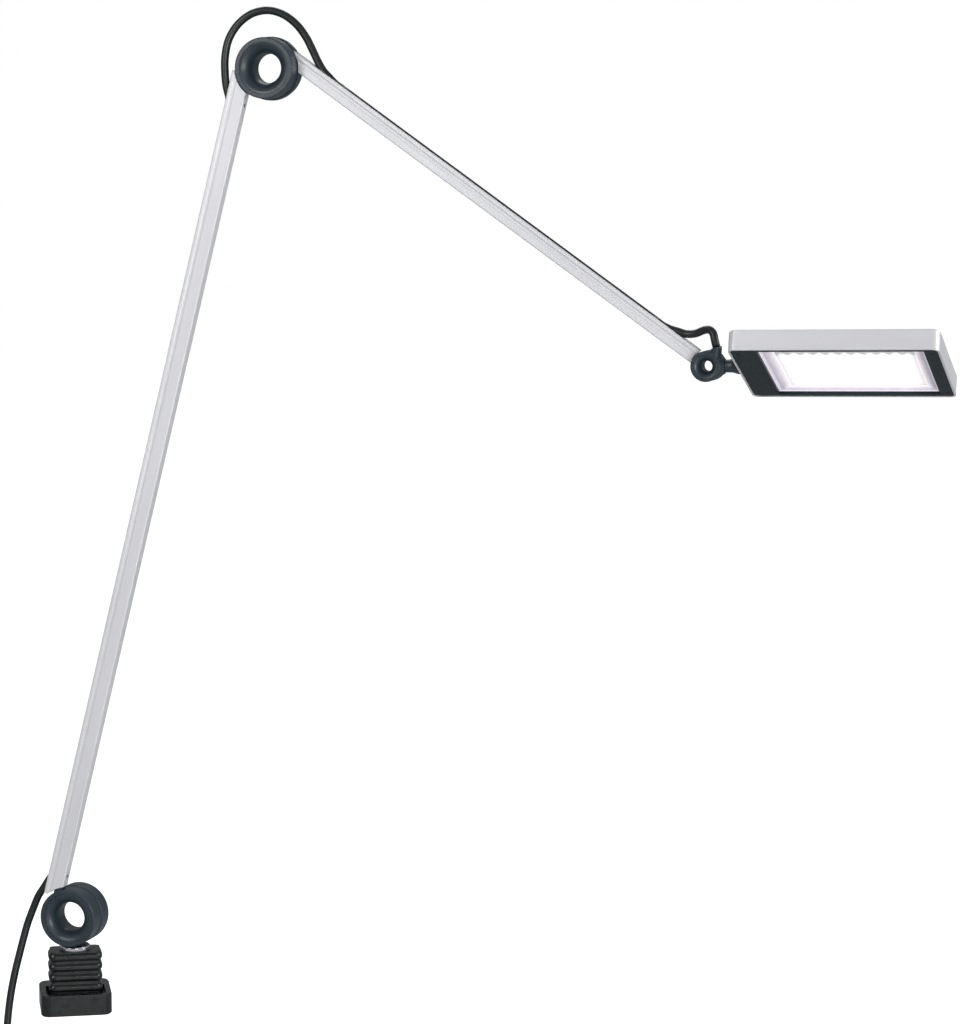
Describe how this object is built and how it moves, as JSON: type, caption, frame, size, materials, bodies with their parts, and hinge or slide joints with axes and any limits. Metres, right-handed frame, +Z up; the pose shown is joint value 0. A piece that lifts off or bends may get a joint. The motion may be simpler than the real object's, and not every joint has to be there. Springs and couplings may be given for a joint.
{
  "type": "clamp-mounted task lamp",
  "caption": "Desk-clamp task lamp: two slim silver arms on dark hollow ring hinges, cable looped over the elbow, and a flat rectangular LED head.",
  "frame": {"origin": "on the swivel axis, in the plane where the upper jaw's pad rests on the desk top", "axes": "+Z up along the swivel axis, +Y from the clamp towards the desk, +X to the right as seen from the front; the arms' upright plane is turned 26 degrees clockwise from +X"},
  "size_m": [0.7943, 0.4217, 1.0443],
  "materials": {
    "clamp_black": "gloss black powder coat",
    "hub_dark": "die cast, dark green-grey lacquer",
    "arm_silver": "satin silver anodised",
    "rubber_black": "matt",
    "steel_bright": "bright zinc",
    "chrome": "polished",
    "brass": "machined",
    "nylon_dark": "moulded",
    "board_white": "white solder resist",
    "board_green": "green solder resist",
    "led_yellow": "phosphor",
    "well_white": "white reflector",
    "diffuser_opal": "opal",
    "bezel_dark": "dark green-black gloss",
    "cord_black": "smooth flexible PVC"
  },
  "bodies": {
    "clamp": {"clamp_column": "clamp_black", "upper_jaw_pad": "rubber_black", "column_end_plate": "steel_bright", "end_plate_screws": "steel_bright", "swivel_bush": "nylon_dark"},
    "lower_jaw": {"lower_jaw": "clamp_black", "screw_insert": "brass"},
    "pressure_pad": {"pressure_pad": "rubber_black"},
    "clamp_screw": {"clamp_screw": "steel_bright"},
    "swivel": {"base_knuckle": "hub_dark", "swivel_collar": "chrome", "swivel_clip": "steel_bright", "base_axle": "hub_dark", "base_axle_nut": "hub_dark", "base_disc_spring": "steel_bright", "cord_drop": "cord_black", "cord_coil": "cord_black", "cord_tie": "cord_black", "cord_plug_lead": "cord_black", "mains_plug": "cord_black", "plug_pins": "chrome"},
    "lower_arm": {"lower_ring_bottom": "hub_dark", "lower_arm_tube": "arm_silver", "lower_arm_screws": "steel_bright", "lower_ring_top": "hub_dark", "base_friction_washer": "nylon_dark", "cord_lower_run": "cord_black", "cord_tail": "cord_black"},
    "upper_arm": {"elbow_ring": "hub_dark", "elbow_axle": "hub_dark", "elbow_axle_nut": "hub_dark", "elbow_friction_washer": "nylon_dark", "elbow_disc_spring": "steel_bright", "upper_arm_tube": "arm_silver", "upper_arm_screws": "steel_bright", "head_ring": "hub_dark", "cord_upper_run": "cord_black", "cord_elbow_loop": "cord_black"},
    "head_knuckle": {"head_knuckle": "hub_dark", "head_axle": "hub_dark", "head_axle_nut": "hub_dark", "head_friction_washer": "nylon_dark", "head_disc_spring": "steel_bright", "neck_grub_screw": "steel_bright", "cord_head_bend": "cord_black"},
    "head": {"neck_swivel": "hub_dark", "neck_nut": "steel_bright", "head_housing": "arm_silver", "heat_spreader": "arm_silver", "led_board": "board_white", "led_chips": "led_yellow", "driver_board": "board_green", "light_well": "well_white", "diffuser": "diffuser_opal", "bezel_frame": "bezel_dark", "bezel_screws": "steel_bright", "switch_body": "nylon_dark"},
    "switch_button": {"switch_button": "nylon_dark"}
  },
  "joints": [
    {"name": "jaw_slide", "type": "slide", "parent": "clamp", "child": "lower_jaw", "axis": [0, 0, 1], "range_m": [-0.005, 0.006]},
    {"name": "pad_lift", "type": "slide", "parent": "lower_jaw", "child": "pressure_pad", "axis": [0, 0, 1], "range_m": [0, 0.008]},
    {"name": "screw_turn", "type": "hinge", "parent": "pressure_pad", "child": "clamp_screw", "pos_m": [0, 0.0253, -0.0173], "axis": [0, 0, 1], "range_deg": [-20, 2330]},
    {"name": "base_yaw", "type": "hinge", "parent": "clamp", "child": "swivel", "pos_m": [0, 0, 0.018], "axis": [0, 0, 1], "range_deg": [-150, 150]},
    {"name": "base_tilt", "type": "hinge", "parent": "swivel", "child": "lower_arm", "pos_m": [0, 0, 0.0483], "axis": [0.4384, 0.8988, 0], "range_deg": [-50, 60], "deforming": ["cord_tail"]},
    {"name": "elbow", "type": "hinge", "parent": "lower_arm", "child": "upper_arm", "pos_m": [0.16539, -0.08067, 0.77022], "axis": [0.4384, 0.8988, 0], "range_deg": [-90, 62], "deforming": ["cord_elbow_loop"]},
    {"name": "head_tilt", "type": "hinge", "parent": "upper_arm", "child": "head_knuckle", "pos_m": [0.49744, -0.24261, 0.53122], "axis": [0.4384, 0.8988, 0], "range_deg": [-50, 45], "deforming": ["cord_head_bend"]},
    {"name": "head_roll", "type": "hinge", "parent": "head_knuckle", "child": "head", "pos_m": [0.49621, -0.24513, 0.53122], "axis": [0.8987, -0.4383, 0.0175], "range_deg": [-60, 60]},
    {"name": "button_press", "type": "slide", "parent": "head", "child": "switch_button", "axis": [-0.1497, -0.3438, -0.927], "range_m": [0, 0.001], "stiffness_N_per_m": 1200, "springref_m": -0.0008}
  ],
  "couplings": [
    {"joint": "screw_turn", "follows": "pad_lift", "rad_per_m": 5026.5}
  ]
}
